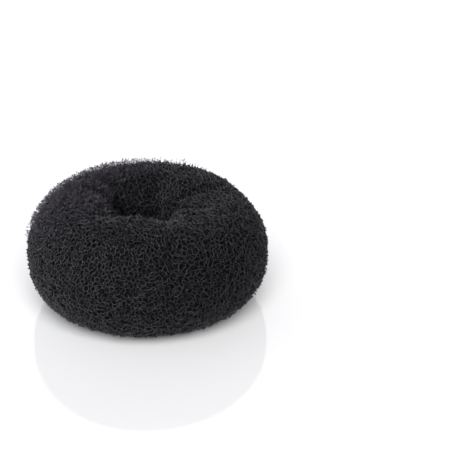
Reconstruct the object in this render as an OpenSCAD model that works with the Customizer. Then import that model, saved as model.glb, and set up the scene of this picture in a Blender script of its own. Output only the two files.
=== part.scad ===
// Hair donut bun maker: a sleeve of crimped knitted net, rolled up on itself into one soft ring.
// The hair is drawn through the pinched hole and spread over the ring.
// +Z is up. The origin is the middle of the hole, on the surface that the ring lies on.
// Seen from the front, along +Y, +X is to the right.

/* [Ring] */
// Width across the ring at its fullest line
outer_d = 120; // [104:1:140]
// Height of the ring as it lies
ring_h = 57; // [48:1:68]
// Height of the fullest line above the surface
belly_h = 24; // [18:1:30]
// Squareness of the outside above the fullest line, where 2 is an ellipse
shoulder_power = 2.4; // [2:0.1:3]
// Squareness of the outside below the fullest line
foot_power = 2.1; // [2:0.1:3]

/* [Hole] */
// Width across the crest, the highest line round the hole
crest_d = 62; // [54:1:70]
// Width of the nearly level strip along the crest
crest_w = 5; // [2:1:8]
// Width of the hole at its waist, where the roll pinches it
waist_d = 21; // [14:1:28]
// Height of the waist above the surface
waist_h = 27; // [20:1:34]
// Squareness of the mouth above and below the waist, where 1 is a straight funnel
mouth_power = 1.7; // [1.4:0.1:2.2]

/* [Rest] */
// Width across the middle of the flat that the ring rests on
rest_d = 62; // [56:1:70]
// Width of that flat, which the ring's own weight presses
rest_w = 11; // [6:1:18]

/* [Folds] */
// Depth of the deepest fold that the pinched hole gathers in the net
fold_depth = 6; // [2:0.5:8]
// Width across the ring at which the folds have run out
fold_reach_d = 76; // [70:1:100]
// Height above the surface over which a fold comes in
fold_lift = 9; // [6:1:12]
// Depth of the small gathers where they are plainest, low on the outside and over the crest
gather_depth = 0.7; // [0:0.1:1.2]
// Number of gathers round the ring
gathers = 60; // [40:10:60]

/* [Hidden] */

outer_r = outer_d / 2;
crest_r = crest_d / 2;
waist_r = waist_d / 2;
rest_r = rest_d / 2;
fold_reach_r = fold_reach_d / 2;

// How the soft ring differs round its length. Each share is one of the named size in its heading.
AT = 0;
OUT = 1;
CREST = 2;
WAIST = 3;
TOP = 4;
FULL = 5;
SECTIONS = [
    // at (degrees), out (outer_r), crest (crest_r), waist (waist_r), top (ring_h), full (mouth_power)
    [   0, 1.005, 0.92, 1.06, 0.940, 1.40],
    [  12, 1.000, 0.90, 1.06, 0.930, 1.45],
    [  36, 0.990, 1.00, 1.20, 0.966, 1.15],
    [  62, 0.982, 1.02, 1.15, 0.988, 1.10],
    [  95, 0.990, 1.02, 1.00, 1.000, 1.10],
    [ 128, 0.985, 1.00, 1.10, 1.010, 1.05],
    [ 150, 0.982, 1.04, 1.22, 1.005, 1.05],
    [ 176, 0.992, 1.00, 1.12, 0.990, 1.10],
    [ 205, 0.998, 0.95, 1.02, 0.980, 1.20],
    [ 240, 1.000, 0.98, 0.98, 0.975, 1.10],
    [ 275, 1.003, 0.98, 0.90, 0.962, 1.05],
    [ 310, 1.020, 1.04, 1.10, 0.935, 1.10],
    [ 338, 1.015, 0.97, 1.02, 0.940, 1.50],
    [ 360, 1.005, 0.92, 1.06, 0.940, 1.40],
];

// The folds round the hole. Each depth and reach is a share of the named size in its heading.
DEPTH = 1;
HALF = 2;
REACH = 3;
FOLDS = [
    // at (degrees), depth (fold_depth), half width (degrees), reach (fold_reach_r)
    [ 165,  0.60,  9, 0.92],
    [ 139,  0.80, 11, 0.90],
    [  72,  0.12, 12, 0.90],
    [  46, -0.20, 11, 0.85],
    [  20,  1.25,  9, 0.76],
    [   3, -0.25,  9, 0.72],
    [ -21,  1.00, 11, 0.86],
    [  -6,  0.40, 34, 1.00],
    [ 226,  0.45, 22, 1.00],
    [ 296,  0.35, 25, 0.95],
];
// Height of the lips on both sides of a fold, as a share of its depth
fold_lip = 0.3;
// Share of a fold's depth that is left at the waist, and where between the reach and the waist it is deepest
fold_at_waist = 0.45;
fold_deepest = 0.58;
// Depth of the gathers over the crest, as a share of those low on the outside
mouth_gathers = 0.6;
// Height of the middle of the low gathers, as a share of belly_h
low_gathers = 0.5;
// Share of the mouth's height that the crest's gathers leave smooth above the waist
smooth_mouth = 0.3;
// Width of the strip outside the crest over which its gathers run out
gather_fade = 9;

// Columns round the ring: the middle of each gather's groove falls on one of its columns
columns_per_gather = 3;
columns = columns_per_gather * gathers;
// Stations on the four quarters of the roll's section
foot_steps = 7;
shoulder_steps = 9;
mouth_steps = 9;
under_steps = 5;

// 0 before 0, 1 after 1, and an even curve between them
function eased(x) = let (t = min(1, max(0, x))) t * t * (3 - 2 * t);

// A column of SECTIONS at any angle from 0 to 360, with a smooth curve through its rows
function share_at(angle, column) =
    let (
        row = max([for (i = [0 : len(SECTIONS) - 2]) if (SECTIONS[i][AT] <= angle) i]),
        before = SECTIONS[row],
        after = SECTIONS[row + 1],
        along = (1 - cos(180 * (angle - before[AT]) / (after[AT] - before[AT]))) / 2
    )
    before[column] + (after[column] - before[column]) * along;

// One quarter of a superellipse, from the horizontal end at 0 degrees to the vertical end at 90
function quarter(angle, power) = [pow(cos(angle), 2 / power), pow(sin(angle), 2 / power)];

// The roll's section at an angle round the ring, as [radius, height] from the outside of the rest upwards
function section(angle) =
    let (
        outer = outer_r * share_at(angle, OUT),
        crest = crest_r * share_at(angle, CREST),
        waist = waist_r * share_at(angle, WAIST),
        top = ring_h * share_at(angle, TOP),
        fullness = mouth_power * share_at(angle, FULL),
        crest_out = crest + crest_w / 2,
        crest_in = crest - crest_w / 2,
        rest_out = rest_r + rest_w / 2,
        rest_in = rest_r - rest_w / 2
    )
    concat(
        [for (i = [0 : foot_steps - 1])
            let (q = quarter(90 - 90 * i / foot_steps, foot_power))
            [rest_out + (outer - rest_out) * q[0], belly_h * (1 - q[1])]],
        [for (i = [0 : shoulder_steps])
            let (q = quarter(90 * i / shoulder_steps, shoulder_power))
            [crest_out + (outer - crest_out) * q[0], belly_h + (top - belly_h) * q[1]]],
        [for (i = [0 : mouth_steps])
            let (q = quarter(90 - 90 * i / mouth_steps, fullness))
            [crest_in - (crest_in - waist) * q[0], waist_h + (top - waist_h) * q[1]]],
        [for (i = [1 : under_steps])
            let (q = quarter(90 * i / under_steps, mouth_power))
            [rest_in - (rest_in - waist) * q[0], waist_h * (1 - q[1])]]
    );

// How far an angle is from a fold's middle, in half widths
function from_fold(angle, fold) = abs((angle - fold[AT] + 540) % 360 - 180) / fold[HALF];

// A fold's groove at that distance, with a low lip on each side
function groove(x) =
    x < 1 ? (1 + cos(180 * x)) / 2
    : x < 2 ? -fold_lip * (1 - cos(360 * (x - 1))) / 2
    : 0;

// The share of a fold's depth at a place on the section: all of it in the mouth, none on the rest
function fold_share(place, waist, reach) =
    let (
        inwards = (reach - place[0]) / (reach - waist),
        closing = eased((inwards - fold_deepest) / (1 - fold_deepest))
    )
    eased(inwards / fold_deepest) * (1 - (1 - fold_at_waist) * closing) * eased(place[1] / fold_lift);

// How far all folds together move a place on the section into the roll
function folds_at(angle, place, waist) =
    let (depths = [for (fold = FOLDS)
        fold[DEPTH] * groove(from_fold(angle, fold)) * fold_share(place, waist, fold[REACH] * fold_reach_r)])
    fold_depth * depths * [for (fold = FOLDS) 1];

// The share of a gather's depth at a place: low on the outside and over the crest, and none on the rest
function gather_share(place) =
    let (
        out = (place[0] - rest_r) / (outer_r - rest_r),
        low = place[1] / belly_h - low_gathers,
        up = (place[1] - waist_h) / (ring_h - waist_h) - smooth_mouth,
        mouth = eased(2 * up) * (1 - eased((place[0] - crest_r) / gather_fade))
    )
    (eased(2 * out) * (1 - eased(low)) + mouth_gathers * mouth) * eased(place[1] / fold_lift);

// A place on the section moved towards the middle of the roll
function pressed(place, core, depth) =
    let (out = place - core)
    place - out / norm(out) * depth;

// One column of points of the net's outer face
function column_at(angle) =
    let (
        waist = waist_r * share_at(angle, WAIST),
        core = [(outer_r + waist_r) / 2, ring_h / 2],
        gather = gather_depth * (1 + cos(gathers * angle)) / 2
    )
    [for (place = section(angle))
        let (p = pressed(place, core, folds_at(angle, place, waist) + gather * gather_share(place)))
        [p[0] * cos(angle), p[0] * sin(angle), p[1]]];

// The rolled sleeve as one closed ring
module rolled_net_ring() {
    grid = [for (i = [0 : columns - 1]) column_at(360 * i / columns)];
    round_section = len(grid[0]);
    points = [for (column = grid) for (p = column) p];
    faces = [
        for (i = [0 : columns - 1], j = [0 : round_section - 1])
            let (
                here = i * round_section,
                next = (i + 1) % columns * round_section,
                up = (j + 1) % round_section,
                a = here + j,
                b = next + j,
                c = next + up,
                d = here + up
            )
            each [[a, c, b], [a, d, c]]
    ];
    color([0.13, 0.13, 0.14]) polyhedron(points = points, faces = faces, convexity = 4);
}

rolled_net_ring();
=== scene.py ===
# %% [markdown]
# # A hair donut in crimped black net
# A hair donut is a sleeve of crimped nylon net, rolled up on itself into a soft ring.
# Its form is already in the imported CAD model. What is missing is the net: thousands of wavy strands,
# the small dark pores between them, and the fuzz of loops that softens the outline.
# Every number here is in metres, in the CAD model's own frame, with +Z up and the photographed side at -Y.

import math
import random

import bmesh
import bpy
import numpy as np
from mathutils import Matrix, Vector, noise
from mathutils.bvhtree import BVHTree


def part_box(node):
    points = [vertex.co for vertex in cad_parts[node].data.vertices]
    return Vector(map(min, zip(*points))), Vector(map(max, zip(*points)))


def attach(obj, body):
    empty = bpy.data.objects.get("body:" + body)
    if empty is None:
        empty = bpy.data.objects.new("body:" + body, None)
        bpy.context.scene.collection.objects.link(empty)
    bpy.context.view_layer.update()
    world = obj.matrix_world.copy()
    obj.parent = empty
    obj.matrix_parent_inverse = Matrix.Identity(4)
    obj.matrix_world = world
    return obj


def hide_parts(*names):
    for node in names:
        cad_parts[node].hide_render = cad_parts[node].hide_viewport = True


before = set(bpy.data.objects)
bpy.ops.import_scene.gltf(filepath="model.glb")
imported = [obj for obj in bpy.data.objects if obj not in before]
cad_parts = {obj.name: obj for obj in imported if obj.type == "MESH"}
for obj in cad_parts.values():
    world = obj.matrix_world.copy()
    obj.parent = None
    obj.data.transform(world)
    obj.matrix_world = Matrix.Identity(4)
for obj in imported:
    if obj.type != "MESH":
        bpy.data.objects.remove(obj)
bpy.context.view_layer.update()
MM = 0.001
ring_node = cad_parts["rolled_net_ring"]
ring_low, ring_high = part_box("rolled_net_ring")
print("ring, mm:", [round(v / MM, 1) for v in ring_high - ring_low])

# %% [markdown]
# ## The camera
# The photograph looks down on the ring at about 27 degrees with a fairly long lens.
# The camera could be pushed about by eye, but it is quicker to work it out: the ring is 120 mm wide and
# covers 237.5 pixels, so the focal length in pixels gives the distance, and the ring's place in the frame
# gives the point that the camera looks at.

# %% Place the camera
FRAME_PX = 450
LENS = 100
SENSOR = 36
ELEVATION = math.radians(26.6)
RING_D, RING_H = 0.120, 0.057
RING_PX = 237.5
RING_MIDDLE_PX = (146.8, 241.0)

px_per_m = RING_PX / RING_D
distance = LENS / SENSOR * FRAME_PX / px_per_m
ring_middle = Vector((0, 0, RING_H / 2))
back = Vector((0, -math.cos(ELEVATION), math.sin(ELEVATION)))
right = Vector((1, 0, 0))
up = right.cross(-back)
off_right = FRAME_PX / 2 - RING_MIDDLE_PX[0]
off_up = RING_MIDDLE_PX[1] - FRAME_PX / 2
aim = ring_middle + (right * off_right + up * off_up) / px_per_m
lens = bpy.data.cameras.new("studio_camera")
lens.lens, lens.sensor_width, lens.clip_start = LENS, SENSOR, 0.01
camera = bpy.data.objects.new("studio_camera", lens)
bpy.context.scene.collection.objects.link(camera)
camera.location = ring_middle + back * distance
camera.rotation_euler = (aim - camera.location).to_track_quat("-Z", "Y").to_euler()
bpy.context.scene.camera = camera
print("camera distance, m:", round(distance, 3))

# %% [markdown]
# ## A way to walk on the roll
# Everything else lies on the ring's surface, so the script needs to know where that surface is.
# The CAD mesh is loose triangles, so a merged copy of it is put into a search tree. A ray from the middle of
# the roll, here called its core, then finds the surface at any turn round the ring and any angle round the
# roll. The turn is 0 at the right and grows towards the back. The angle is 0 outside and 90 degrees on top.

# %% Find the surface
CORE_R, CORE_Z = 0.0353, RING_H / 2
ROLL_R = 0.026
WELD = 0.01 * MM


def merged_ring():
    bm = bmesh.new()
    bm.from_mesh(ring_node.data)
    bmesh.ops.remove_doubles(bm, verts=bm.verts, dist=WELD)
    bm.normal_update()
    return bm


solid = merged_ring()
print("merged ring:", len(solid.verts), "corners, volume cm3:", round(solid.calc_volume() * 1e6, 1))
surface = BVHTree.FromBMesh(solid)
solid.free()


def on_roll(turn, around):
    """The surface point and its outward normal, at a turn round the ring and an angle round the roll."""
    core = Vector((CORE_R * math.cos(turn), CORE_R * math.sin(turn), CORE_Z))
    out = Vector((math.cos(around) * math.cos(turn), math.cos(around) * math.sin(turn), math.sin(around)))
    point, normal, _, _ = surface.ray_cast(core, out)
    return point, normal


def roll_place(point):
    """The turn round the ring and the angle round the roll of a point."""
    out = math.hypot(point.x, point.y) - CORE_R
    return math.atan2(point.y, point.x), math.atan2(point.z - CORE_Z, out)


# %% [markdown]
# The net's courses should lie evenly along the surface, not evenly in angle. So the walk once round the
# roll's section is measured, in small steps, at a turn where no fold is near.

# %% Measure the walk round the section
STEPS = 720
PLAIN_TURN = 1.7
walk_around = [2 * math.pi * k / STEPS for k in range(STEPS + 1)]
walk_points = [on_roll(PLAIN_TURN, a)[0] for a in walk_around]
walk_r = [math.hypot(p.x, p.y) for p in walk_points]
walk_z = [p.z for p in walk_points]
walk_s = [0.0]
for k in range(STEPS):
    walk_s.append(walk_s[-1] + math.hypot(walk_r[k + 1] - walk_r[k], walk_z[k + 1] - walk_z[k]))
print("walk round the section, mm:", round(walk_s[-1] / MM, 1))

# %% [markdown]
# The net differs from place to place. Over the shoulder and in the mouth it is drawn towards the hole, so
# its cells are longer there. In the mouth the plies are pulled tight onto each other, and on the shoulder at
# the far left they lie so slack that the photograph shows light through them. Each of these is a share from
# 0 to 1 or so, read off the photograph as angles and blended smoothly in between.

# %% Say where the net is drawn, tight or slack
SLACK_ROUND = 0.2
SLACK_FAR_LEFT = 0.9
FAR_LEFT = math.radians(145)


def between(x, low, high):
    """0 below the low end, 1 above the high end, and an even curve between them."""
    t = min(1, max(0, (x - low) / (high - low)))
    return t * t * (3 - 2 * t)


def drawn(around):
    """0 where the net lies loose, 1 where it is drawn towards the hole."""
    degrees = math.degrees(around) % 360
    return between(degrees, 10, 55) * (1 - between(degrees, 290, 330))


def tight(around):
    """0 outside, 1 in the mouth, where the plies are pulled onto each other."""
    degrees = math.degrees(around) % 360
    return between(degrees, 85, 135) * (1 - between(degrees, 290, 330))


def slack(turn, around):
    """How loosely the plies lie: a little on all of the shoulder, and most at the far left."""
    degrees = math.degrees(around) % 360
    shoulder = between(degrees, 5, 40) * (1 - between(degrees, 100, 140))
    far_left = (1 + math.cos(turn - FAR_LEFT)) / 2
    return shoulder * (SLACK_ROUND + SLACK_FAR_LEFT * far_left**4)


def depth_at(turn, around, depth, sag):
    """How deep a layer lies at a place: half as deep in the mouth, and deeper where it is slack."""
    return depth * (1 - 0.5 * tight(around)) + sag * slack(turn, around)


for degrees in (0, 90, 145, 270):
    on_top = slack(math.radians(degrees), math.radians(70))
    print("slack near the top, at a turn of", degrees, "degrees:", round(on_top, 2))

# %% [markdown]
# ## The net's cells
# A real net could be copied stitch by stitch, but crimped and rolled up it no longer shows its stitches.
# What the eye sees is a maze of small uneven cells. Such cells are easy to get from a triangle mesh:
# its dual mesh has one cell round each corner. So each ply starts as courses of points round the ring,
# bridged as a straight tube and cut into triangles, and is then laid on the roll with every point off its
# place by chance.

# %% Knit a sheet of triangles
def knitted_tube(pitch, longer, closer):
    """Courses of points, bridged into a tube. Each point keeps its angle round the roll in a layer.

    Where the net is drawn, its cells are longer along the walk and closer along the course, by these shares.
    """
    bm = bmesh.new()
    around_layer = bm.verts.layers.float.new("around")
    half_layer = bm.verts.layers.float.new("half")
    row = pitch * math.sqrt(3) / 2
    count = [0.0]
    for k in range(STEPS):
        step = walk_s[k + 1] - walk_s[k]
        count.append(count[-1] + step / (row * (1 + longer * drawn(walk_around[k]))))
    courses = 2 * round(count[-1] / 2)
    loops = []
    for c in range(courses):
        at = count[-1] * c / courses
        around = float(np.interp(at, count, walk_around))
        radius = float(np.interp(at, count, walk_r))
        stitches = round(2 * math.pi * radius / pitch * (1 + closer * drawn(around)))
        new = bmesh.ops.create_circle(bm, segments=stitches, radius=radius)["verts"]
        bmesh.ops.translate(bm, verts=new, vec=(0, 0, np.interp(at, count, walk_s)))
        for v in new:
            v[around_layer] = around
            v[half_layer] = (c % 2) * math.pi / stitches
        loops.append(list({e for v in new for e in v.link_edges}))
    for below, above in zip(loops, loops[1:] + loops[:1]):
        bmesh.ops.bridge_loops(bm, edges=below + above)
    bmesh.ops.triangulate(bm, faces=bm.faces, quad_method="SHORT_EDGE")
    return bm


def lay_on_roll(bm, depth, sag, stray, pitch, rng):
    """Moves the tube's points onto the surface, or that deep under it, each off its place by chance."""
    around_layer = bm.verts.layers.float["around"]
    half_layer = bm.verts.layers.float["half"]
    for v in bm.verts:
        radius = math.hypot(v.co.x, v.co.y)
        turn = math.atan2(v.co.y, v.co.x) + v[half_layer] + rng.gauss(0, stray) * pitch / radius
        around = v[around_layer] + rng.gauss(0, stray) * pitch / ROLL_R
        point, normal = on_roll(turn, around)
        v.co = point - normal * depth_at(turn, around, depth, sag)
    bmesh.ops.beautify_fill(bm, faces=bm.faces, edges=bm.edges, method="ANGLE")


# %% [markdown]
# Turning triangles into cells is one node, Dual Mesh, so it is done with Geometry Nodes and applied at once.

# %% Turn triangles into cells
def node_group(name):
    """A new geometry node group, with its input and output."""
    group = bpy.data.node_groups.new(name, "GeometryNodeTree")
    for way in ("INPUT", "OUTPUT"):
        group.interface.new_socket("Geometry", in_out=way, socket_type="NodeSocketGeometry")
    return group, group.nodes.new("NodeGroupInput"), group.nodes.new("NodeGroupOutput")


cells, cells_in, cells_out = node_group("net_cells")
dual = cells.nodes.new("GeometryNodeDualMesh")
cells.links.new(cells_in.outputs[0], dual.inputs[0])
cells.links.new(dual.outputs[0], cells_out.inputs[0])


def apply_modifiers(obj):
    """Replaces the mesh by what its modifiers make of it."""
    made = bpy.data.meshes.new_from_object(obj.evaluated_get(bpy.context.evaluated_depsgraph_get()))
    obj.modifiers.clear()
    obj.data = made


def new_object(name, bm):
    """An object made of the bmesh, which is freed."""
    mesh = bpy.data.meshes.new(name)
    bm.to_mesh(mesh)
    bm.free()
    obj = bpy.data.objects.new(name, mesh)
    bpy.context.scene.collection.objects.link(obj)
    return obj


# %% [markdown]
# Closed cells would look like a honeycomb. In the real net many pores are long, because stitches have been
# pulled open. So most of the cells are joined with a neighbour.

# %% Join cells in pairs
def join_cells(bm, share, rng):
    """Drops the strand between two neighbours, for that share of the cells. Long pores are left."""
    free = set(bm.faces)
    dropped = []
    edges = bm.edges[:]
    rng.shuffle(edges)
    goal = share * len(free) / 2
    for edge in edges:
        if len(dropped) >= goal:
            break
        if len(edge.link_faces) == 2 and free.issuperset(edge.link_faces):
            free.difference_update(edge.link_faces)
            dropped.append(edge)
    bmesh.ops.dissolve_edges(bm, edges=dropped, use_verts=False)


# %% [markdown]
# The strands are crimped, which is what gives the net its spring and its matt look. Two kinds of wave are
# added to the cells' corners: a smooth one that lifts whole clumps, and a random one that kinks each strand.

# %% Crimp the strands
CLUMP = 2.2 * MM
RANDOM_LIFT = 0.45


def crimp(bm, lift, kink, lowest, rng, seed):
    """Waves the strands. The table stops those under the roll."""
    bm.normal_update()
    elsewhere = Vector((seed * 7.1, seed * 3.3, seed))
    for v in bm.verts:
        wave = noise.noise(v.co / CLUMP + elsewhere)
        side = Vector((rng.gauss(0, 1), rng.gauss(0, 1), rng.gauss(0, 1)))
        side -= v.normal * side.dot(v.normal)
        v.co += v.normal * lift * (wave + rng.gauss(0, RANDOM_LIFT)) + side * kink
        v.co.z = max(v.co.z, lowest)


# %% [markdown]
# Every piece also gets a map of its own, so that its finish can be baked into a picture later. Unwrapping
# thousands of strands would make as many islands. A map by the turn round the ring and the walk round the
# roll is simple and has room for all of them.

# %% Map a piece by turn and walk
MAP_EDGE, MAP_SPAN = 0.02, 0.94
MAP_SLANT = 2.5


def bake_map(mesh):
    """A map by turn and walk. The reach from the core slants it, so that no face's side is without width."""
    co = np.empty(len(mesh.vertices) * 3, np.float32)
    mesh.vertices.foreach_get("co", co)
    x, y, z = co.reshape(-1, 3).T
    radius = np.hypot(x, y) - CORE_R
    turn = np.arctan2(y, x) / (2 * np.pi) + 0.5
    walk = np.interp(np.arctan2(z - CORE_Z, radius) % (2 * np.pi), walk_around, walk_s) / walk_s[-1]
    reach = np.hypot(radius, z - CORE_Z)
    corner = np.empty(len(mesh.loops), np.int32)
    mesh.loops.foreach_get("vertex_index", corner)
    start = np.empty(len(mesh.polygons), np.int32)
    sides = np.empty(len(mesh.polygons), np.int32)
    mesh.polygons.foreach_get("loop_start", start)
    mesh.polygons.foreach_get("loop_total", sides)
    first = np.repeat(corner[start], sides)
    uv = np.empty((len(corner), 2), np.float32)
    for axis, place in enumerate((turn, walk)):
        here = place[corner]
        here += (place[first] - here > 0.5) * 1.0 - (here - place[first] > 0.5) * 1.0
        uv[:, axis] = MAP_EDGE + MAP_SPAN * here + MAP_SLANT * (reach[corner] - ROLL_R)
    mesh.uv_layers.new(name="OFBake").data.foreach_set("uv", uv.ravel())


# %% [markdown]
# Now the steps are put together: knit, lay on the roll, turn into cells, join, crimp. A Wireframe modifier
# then gives every edge its thickness. Curves with a round bevel could do that too, but they would end in
# open tubes at each crossing, while Wireframe joins the strands there.

# %% Make a ply of net
JOINED = 0.7


def triangles(mesh):
    return sum(len(p.vertices) - 2 for p in mesh.polygons)


def net_ply(name, pitch, longer, closer, stray, depth, sag, lift, kink, strand, seed):
    rng = random.Random(seed)
    bm = knitted_tube(pitch, longer, closer)
    lay_on_roll(bm, depth, sag, stray, pitch, rng)
    ply = new_object(name, bm)
    ply.modifiers.new("cells", "NODES").node_group = cells
    apply_modifiers(ply)
    bm = bmesh.new()
    bm.from_mesh(ply.data)
    join_cells(bm, JOINED, rng)
    crimp(bm, lift, kink, 0.55 * strand, rng, seed)
    bm.to_mesh(ply.data)
    bm.free()
    wire = ply.modifiers.new("strands", "WIREFRAME")
    wire.thickness, wire.offset = strand, 0
    wire.use_even_offset = wire.use_relative_offset = False
    apply_modifiers(ply)
    ply.data.shade_smooth()
    bake_map(ply.data)
    print(name, "triangles:", triangles(ply.data))
    return ply


# %% [markdown]
# ## The plies
# A rolled sleeve shows its outer ply and, through the pores, two or three more under it. One thick ply would
# look like foam, so three thin ones lie a millimetre apart, each with cells of its own. The table has the
# pitch of the cells and all that follows "stray" in millimetres. The stray is a share of the pitch.

# %% Lay the plies
PLIES = [
    # name, pitch, longer, closer, stray, depth, sag, lift, kink, strand
    ("net_outer_ply", 1.9, 1.0, 0.3, 0.34, 0.1, 2.2, 0.80, 0.22, 0.58),
    ("net_second_ply", 1.9, 1.0, 0.3, 0.34, 1.0, 2.6, 0.70, 0.22, 0.60),
    ("net_third_ply", 2.15, 0.5, 0.1, 0.34, 2.0, 2.9, 0.45, 0.22, 0.62),
]
FIRST_SEED = 11
plies = []
for seed, (name, pitch, longer, closer, stray, *lengths) in enumerate(PLIES, FIRST_SEED):
    depth, sag, lift, kink, strand = [length * MM for length in lengths]
    plies.append(net_ply(name, pitch * MM, longer, closer, stray, depth, sag, lift, kink, strand, seed))

# %% [markdown]
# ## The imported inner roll
# Under the plies that show, the sleeve is wound so tight that it reads as a dark, rough body.
# A copy of the CAD ring stands for it, drawn in by 3 mm, or by 6 mm under the slack shoulder. It keeps light
# from passing through the ring.

# %% Draw the inner roll in
def sunk_ring(depth, sag):
    """A copy of the ring's surface, drawn in by that depth, and by the sag too where the net is slack."""
    bm = merged_ring()
    normals = [v.normal.copy() for v in bm.verts]
    for v, normal in zip(bm.verts, normals):
        v.co -= normal * depth_at(*roll_place(v.co), depth, sag)
    return bm


inner = new_object("packed_inner_roll", sunk_ring(2.8 * MM, 3.1 * MM))
inner.data.shade_smooth()
bake_map(inner.data)
print("packed_inner_roll triangles:", triangles(inner.data))

# %% [markdown]
# ## The fuzz
# Crimped strands spring out of the outer ply in small loops. They are what makes the outline soft and lets
# light through it. Each kind of loop is bent from a thin strand: a small circle of three corners is spun
# half round, stretched to its height and let a little into the net. Some stop short of half a turn and end
# as hooks.

# %% Bend a loop
BENDS = 4
ROOT = 0.4 * MM


def bent_loop(name, strand, width, height, sweep, lean):
    """A loop of strand that stands on the origin. It sweeps over so many degrees and leans aside."""
    bm = bmesh.new()
    ring = bmesh.ops.create_circle(bm, segments=3, radius=strand / 2, cap_ends=True)
    bmesh.ops.translate(bm, verts=ring["verts"], vec=(width / 2, 0, 0))
    bmesh.ops.spin(
        bm, geom=bm.verts[:] + bm.edges[:] + bm.faces[:], cent=(0, 0, 0), axis=(0, -1, 0),
        dvec=(0, lean / BENDS, 0), angle=math.radians(sweep), steps=BENDS, use_duplicate=False,
    )
    bmesh.ops.scale(bm, verts=bm.verts, vec=(1, 1, height / (width / 2)))
    bmesh.ops.translate(bm, verts=bm.verts, vec=(0, 0, -ROOT))
    bmesh.ops.recalc_face_normals(bm, faces=bm.faces)
    open_edges = sum(not e.is_manifold for e in bm.edges)
    loop = new_object(name, bm)
    bpy.context.scene.collection.objects.unlink(loop)
    print(name, "faces:", len(loop.data.polygons), "open edges:", open_edges)
    return loop


# %% [markdown]
# Thousands of loops are too many to place by hand, and copies of one object would show up as a pattern.
# Geometry Nodes scatters them instead. Poisson points keep a least gap, a layer called "crowd" says where
# they stand close, and each point picks one of the loops and gets a tilt, a turn and a size by chance. The
# instances are realized at once, so the fuzz is one plain mesh.

# %% Scatter loops over the roll
TILT = 0.4
SIZES = (0.6, 1.1)
ABOVE_TABLE = 0.05 * MM


def scatter_loops(name, loops, base, gap, most, seed):
    """Stands loops on the base mesh, at least the gap apart and at most so many to the square metre."""
    source = bpy.data.collections.new(name + "_source")
    bpy.context.scene.collection.children.link(source)
    for loop in loops:
        source.objects.link(loop)
    group, start, end = node_group(name)

    def node(kind, **values):
        made = group.nodes.new(kind)
        for key, value in values.items():
            if hasattr(made, key):
                setattr(made, key, value)
            else:
                made.inputs[key.replace("_", " ")].default_value = value
        return made

    def shown(made):
        return next(s for s in made.outputs if s.enabled)

    link = group.links.new
    crowd = node("GeometryNodeInputNamedAttribute", data_type="FLOAT", Name="crowd")
    points = node(
        "GeometryNodeDistributePointsOnFaces", distribute_method="POISSON", Distance_Min=gap,
        Density_Max=most, Seed=seed,
    )
    pick = node("GeometryNodeCollectionInfo", Collection=source, Separate_Children=True, Reset_Children=True)
    which = node("FunctionNodeRandomValue", data_type="INT")
    which.inputs[4].default_value, which.inputs[5].default_value = 0, len(loops) - 1
    tilt = node("FunctionNodeRandomValue", data_type="FLOAT_VECTOR", Seed=seed + 1)
    tilt.inputs[0].default_value, tilt.inputs[1].default_value = (-TILT, -TILT, -3.14), (TILT, TILT, 3.14)
    size = node("FunctionNodeRandomValue", data_type="FLOAT", Seed=seed + 2)
    size.inputs[2].default_value, size.inputs[3].default_value = SIZES
    turned = node("FunctionNodeEulerToRotation")
    stand = node("FunctionNodeRotateRotation", rotation_space="LOCAL")
    instance = node("GeometryNodeInstanceOnPoints", Pick_Instance=True)
    realize = node("GeometryNodeRealizeInstances")
    link(start.outputs[0], points.inputs["Mesh"])
    link(crowd.outputs["Attribute"], points.inputs["Density Factor"])
    link(points.outputs["Points"], instance.inputs["Points"])
    link(pick.outputs[0], instance.inputs["Instance"])
    link(shown(which), instance.inputs["Instance Index"])
    link(shown(tilt), turned.inputs[0])
    link(points.outputs["Rotation"], stand.inputs["Rotation"])
    link(turned.outputs[0], stand.inputs["Rotate By"])
    link(stand.outputs[0], instance.inputs["Rotation"])
    link(shown(size), instance.inputs["Scale"])
    link(instance.outputs[0], realize.inputs[0])
    link(realize.outputs[0], end.inputs[0])

    made = new_object(name, base)
    made.modifiers.new("scatter", "NODES").node_group = group
    apply_modifiers(made)
    for v in made.data.vertices:
        v.co.z = max(v.co.z, ABOVE_TABLE)
    made.data.shade_smooth()
    bake_map(made.data)
    for loop in loops:
        bpy.data.objects.remove(loop)
    bpy.data.collections.remove(source)
    print(name, "triangles:", triangles(made.data))
    return made


# %% [markdown]
# It is done twice. Short teeth stand all over the outside and run out in the mouth and under the roll. A
# dense haze of much thinner, taller loops stands where the shoulder is slack.

# %% Grow the teeth and the haze
def crowded(bm, share):
    """Writes the share, a function of the turn and the angle round the roll, into the layer "crowd"."""
    layer = bm.verts.layers.float.new("crowd")
    for v in bm.verts:
        v[layer] = share(*roll_place(v.co))
    return bm


def outside(turn, around):
    """1 on the outside and on top, 0 in the mouth and under the roll."""
    degrees = math.degrees(around) % 360
    return 1 - between(degrees, 150, 180) + between(degrees, 290, 320)


def loose_shoulder(turn, around):
    """0 where the shoulder is no slacker than all round, about 1 at the far left."""
    return max(0, slack(turn, around) - SLACK_ROUND) / (1 - SLACK_ROUND)


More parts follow.
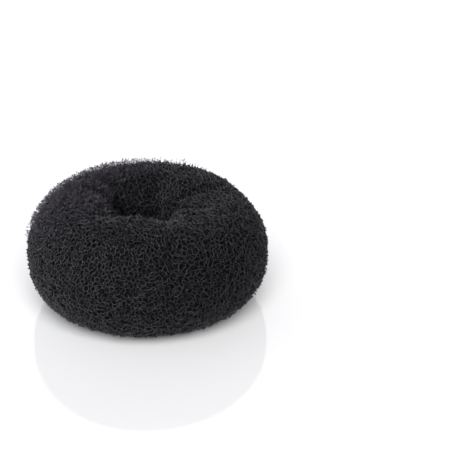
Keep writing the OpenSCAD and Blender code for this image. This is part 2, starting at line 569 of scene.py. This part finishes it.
teeth = scatter_loops(
    "net_teeth",
    [
        bent_loop("tooth_low", 0.30 * MM, 1.0 * MM, 1.25 * MM, 180, 0.4 * MM),
        bent_loop("tooth_narrow", 0.28 * MM, 0.8 * MM, 1.6 * MM, 180, -0.3 * MM),
        bent_loop("tooth_hook", 0.28 * MM, 0.9 * MM, 1.45 * MM, 120, 0.5 * MM),
    ],
    crowded(sunk_ring(0.2 * MM, 1.8 * MM), outside), 1.0 * MM, 210000, 4,
)
haze = scatter_loops(
    "net_haze",
    [
        bent_loop("haze_loop", 0.11 * MM, 1.2 * MM, 3.2 * MM, 180, 0.6 * MM),
        bent_loop("haze_tall", 0.10 * MM, 1.0 * MM, 4.0 * MM, 180, -0.5 * MM),
        bent_loop("haze_hook", 0.11 * MM, 1.4 * MM, 3.5 * MM, 130, 0.8 * MM),
    ],
    crowded(sunk_ring(0.2 * MM, 2.0 * MM), loose_shoulder), 0.25 * MM, 800000, 9,
)

# %% [markdown]
# ## Black crimped nylon
# The net is dyed black, but a black thread is never flat black: its filaments catch the light, and the dye
# takes unevenly. Large soft noise changes the dye, a finer one paints highlights into the colour where
# filaments would catch the light, another sets the roughness from strand to strand, and a very fine one
# raises the filaments as a bump. The deeper plies wear darker copies of the nylon: painted shade for the
# light they lose under the plies above. The haze is of single filaments, which let some light through; its
# paler colour is painted light for that, and it shows the dye's violet cast.

# %% Make the nylon
def remap(tree, value, old, new):
    """A node that maps a value from one range to another."""
    node = tree.nodes.new("ShaderNodeMapRange")
    node.inputs["From Min"].default_value, node.inputs["From Max"].default_value = old
    node.inputs["To Min"].default_value, node.inputs["To Max"].default_value = new
    tree.links.new(value, node.inputs["Value"])
    return node.outputs["Result"]


def nylon(name, dye, painted_highlight, rough, gloss):
    """Crimped nylon in that dye, with painted highlights in fine spots of a lighter colour, a range of
    roughness and a gloss.
    """
    mat = bpy.data.materials.new(name)
    mat.use_nodes = True
    nodes, links = mat.node_tree.nodes, mat.node_tree.links
    shader = nodes["Principled BSDF"]
    place = nodes.new("ShaderNodeTexCoord")

    def spots(scale, detail):
        node = nodes.new("ShaderNodeTexNoise")
        node.inputs["Scale"].default_value = scale
        node.inputs["Detail"].default_value = detail
        links.new(place.outputs["Object"], node.inputs["Vector"])
        return node.outputs["Fac"]

    def ramp(fac, low, high, first, last):
        node = nodes.new("ShaderNodeValToRGB")
        node.color_ramp.elements[0].position, node.color_ramp.elements[1].position = low, high
        node.color_ramp.elements[0].color = (*first, 1)
        node.color_ramp.elements[1].color = (*last, 1)
        links.new(fac, node.inputs["Fac"])
        return node.outputs["Color"]

    cloudy = ramp(spots(55, 2), 0.35, 0.68, dye, [1.25 * c for c in dye])
    # Painted highlight: fine spots blend the dye towards a lighter colour where filaments would catch the
    # light.
    strands = ramp(spots(900, 3), 0.42, 0.66, (0.0, 0.0, 0.0), (1.0, 1.0, 1.0))
    mix = nodes.new("ShaderNodeMix")
    mix.data_type = "RGBA"
    links.new(strands, mix.inputs[0])
    links.new(cloudy, mix.inputs[6])
    mix.inputs[7].default_value = (*painted_highlight, 1)
    links.new(mix.outputs[2], shader.inputs["Base Color"])
    links.new(remap(mat.node_tree, spots(400, 2), (0, 1), rough), shader.inputs["Roughness"])
    bump = nodes.new("ShaderNodeBump")
    bump.inputs["Strength"].default_value = 0.35
    bump.inputs["Distance"].default_value = 0.08 * MM
    links.new(spots(3500, 2), bump.inputs["Height"])
    links.new(bump.outputs["Normal"], shader.inputs["Normal"])
    shader.inputs["Specular IOR Level"].default_value = gloss
    return mat


outer_nylon = nylon("black_crimped_nylon", (0.011, 0.011, 0.0145), (0.044, 0.042, 0.055), (0.32, 0.48), 0.63)
# Painted light: the haze is paler than the outer nylon, for the light that passes through its single
# filaments.
lit_haze_nylon = nylon("black_nylon_haze", (0.040, 0.032, 0.046), (0.140, 0.120, 0.160), (0.36, 0.52), 0.6)
# Painted shade: the deeper plies wear darker copies of the nylon, for the light they lose under the plies
# above.
shaded_second_nylon = nylon("black_nylon_second", (0.006, 0.006, 0.007), (0.020, 0.020, 0.023), (0.42, 0.6), 0.3)
shaded_third_nylon = nylon("black_nylon_third", (0.002, 0.002, 0.0025), (0.008, 0.008, 0.009), (0.5, 0.7), 0.15)
print("nylon:", [mat.name for mat in (outer_nylon, lit_haze_nylon, shaded_second_nylon, shaded_third_nylon)])

# %% [markdown]
# Deep in the roll the strands can't be told apart, so the inner body wears the same nylon with the net only
# as relief and painted shade: cells of a Voronoi texture, sunk in the pores, which are painted darker as
# shade.

# %% Make the imported net's relief
packed = bpy.data.materials.new("packed_nylon")
packed.use_nodes = True
nodes, links = packed.node_tree.nodes, packed.node_tree.links
shader = nodes["Principled BSDF"]
place = nodes.new("ShaderNodeTexCoord")
pores = nodes.new("ShaderNodeTexVoronoi")
pores.feature = "DISTANCE_TO_EDGE"
pores.inputs["Scale"].default_value = 480
links.new(place.outputs["Object"], pores.inputs["Vector"])
# Painted shade: the ramp paints the pores darker than the cell edges.
shade = nodes.new("ShaderNodeValToRGB")
shade.color_ramp.elements[0].color = (0.022, 0.022, 0.024, 1)
shade.color_ramp.elements[1].color = (0.006, 0.006, 0.007, 1)
shade.color_ramp.elements[0].position, shade.color_ramp.elements[1].position = 0.06, 0.28
links.new(pores.outputs["Distance"], shade.inputs["Fac"])
links.new(shade.outputs["Color"], shader.inputs["Base Color"])
relief = nodes.new("ShaderNodeBump")
relief.inputs["Strength"].default_value = 0.8
relief.inputs["Distance"].default_value = 0.6 * MM
relief.invert = True
links.new(pores.outputs["Distance"], relief.inputs["Height"])
links.new(relief.outputs["Normal"], shader.inputs["Normal"])
shader.inputs["Roughness"].default_value = 0.8
shader.inputs["Specular IOR Level"].default_value = 0.2
print("packed net:", len(nodes), "nodes")

# %% [markdown]
# Every piece now gets its finish and its place in the model. They all belong to the one body and take the
# place of the plain CAD ring.

# %% Dress the pieces and hand them to the frame
for piece, finish in (
    (teeth, outer_nylon), (haze, lit_haze_nylon), (plies[0], outer_nylon), (plies[1], shaded_second_nylon),
    (plies[2], shaded_third_nylon), (inner, packed),
):
    piece.data.materials.clear()
    piece.data.materials.append(finish)
    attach(piece, "root")
    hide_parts("rolled_net_ring")
    print(piece.name, "wears", finish.name)

# %% [markdown]
# ## The studio
# The ring lies on a plain white glossy table, which mirrors it faintly. A white tent stands round it, bright
# on the left and dim on the right, so that light comes from all round and still shows the ring's form.
# Near the horizon the tent has a pale skirt all round, so that the table's far end is pale from every side.

# %% Lay the floor
bm = bmesh.new()
bmesh.ops.create_grid(bm, x_segments=8, y_segments=8, size=4)
floor = new_object("studio_floor", bm)
white = bpy.data.materials.new("white_table")
white.use_nodes = True
top = white.node_tree.nodes["Principled BSDF"]
top.inputs["Base Color"].default_value = (0.45, 0.45, 0.455, 1)
top.inputs["Roughness"].default_value = 0.04
floor.data.materials.append(white)
print("table, m:", list(floor.dimensions)[:2])

# %% [markdown]
# The tent is the world's own light. Its strength follows the direction that is looked in: by X from left to
# right, and by Z near the horizon. No lamp is needed for it, and it has no edges that the gloss could show.

# %% Put up the tent
LEFT, RIGHT = 1.08, 0.03
SKIRT = 0.9
SKIRT_TOP = (0.08, 0.2)
world = bpy.data.worlds.new("studio_world")
bpy.context.scene.world = world
world.use_nodes = True
tree = world.node_tree
background = tree.nodes["Background"]
background.inputs["Color"].default_value = (1, 1, 1.02, 1)
direction = tree.nodes.new("ShaderNodeTexCoord")
split = tree.nodes.new("ShaderNodeSeparateXYZ")
tree.links.new(direction.outputs["Generated"], split.inputs[0])
tent = tree.nodes.new("ShaderNodeMix")
tree.links.new(remap(tree, split.outputs["Z"], SKIRT_TOP, (1, 0)), tent.inputs[0])
tree.links.new(remap(tree, split.outputs["X"], (-1, 1), (LEFT, RIGHT)), tent.inputs[2])
tent.inputs[3].default_value = SKIRT
tree.links.new(tent.outputs[0], background.inputs["Strength"])
print("tent:", len(tree.nodes), "nodes")

# %% [markdown]
# The lamps are shared out by light linking. Those for the ring light nothing else, because a glossy table
# would show each of them as a white disc. The table has a soft lamp of its own in front, without a mirror
# image: its light reaches far under the ring, so the shadow is a thin dark line at the foot. A white card
# stands behind the ring: the table mirrors it and turns white.

# %% Hang the lamps
def sun(name, azimuth, height, strength, softness):
    """A soft lamp at that azimuth, where 0 is the front and positive is to the right."""
    light = bpy.data.lights.new(name, "SUN")
    light.energy, light.angle = strength, math.radians(softness)
    lamp = bpy.data.objects.new(name, light)
    bpy.context.scene.collection.objects.link(lamp)
    a, h = math.radians(azimuth), math.radians(height)
    towards = Vector((math.sin(a) * math.cos(h), -math.cos(a) * math.cos(h), math.sin(h)))
    lamp.rotation_euler = towards.to_track_quat("Z", "Y").to_euler()
    return lamp


def shine_on(lamp, receivers, mirrored):
    """Lets the lamp light only these, with or without its own image in their gloss."""
    lit = bpy.data.collections.new(lamp.name + "_receivers")
    for obj in receivers:
        lit.objects.link(obj)
    lamp.light_linking.receiver_collection = lit
    lamp.visible_glossy = mirrored


pieces = [teeth, haze, *plies, inner]
LAMPS = [
    # name, azimuth, height, strength, softness, receivers, mirrored
    ("key", -60, 46, 1.55, 40, pieces, True),
    ("front_fill", -12, 26, 0.4, 25, pieces, True),
    ("table_light", 0, 44, 7.3, 50, [floor], False),
]
for name, azimuth, height, strength, softness, receivers, mirrored in LAMPS:
    shine_on(sun(name, azimuth, height, strength, softness), receivers, mirrored)
    print(name, "lights", [obj.name for obj in receivers])

# %% Stand the white card behind the ring
card = bpy.data.lights.new("white_card", "AREA")
card.shape, card.size, card.size_y = "RECTANGLE", 2.4, 1.2
card.energy = math.pi * card.size * card.size_y
card_lamp = bpy.data.objects.new("white_card", card)
bpy.context.scene.collection.objects.link(card_lamp)
card_lamp.location = (0.1, 1.5, 0.85)
card_lamp.rotation_euler = (Vector((0, 0, 0)) - card_lamp.location).to_track_quat("-Z", "Y").to_euler()
bpy.context.scene.view_settings.view_transform = "Standard"
print("white card, W:", round(card.energy, 2))
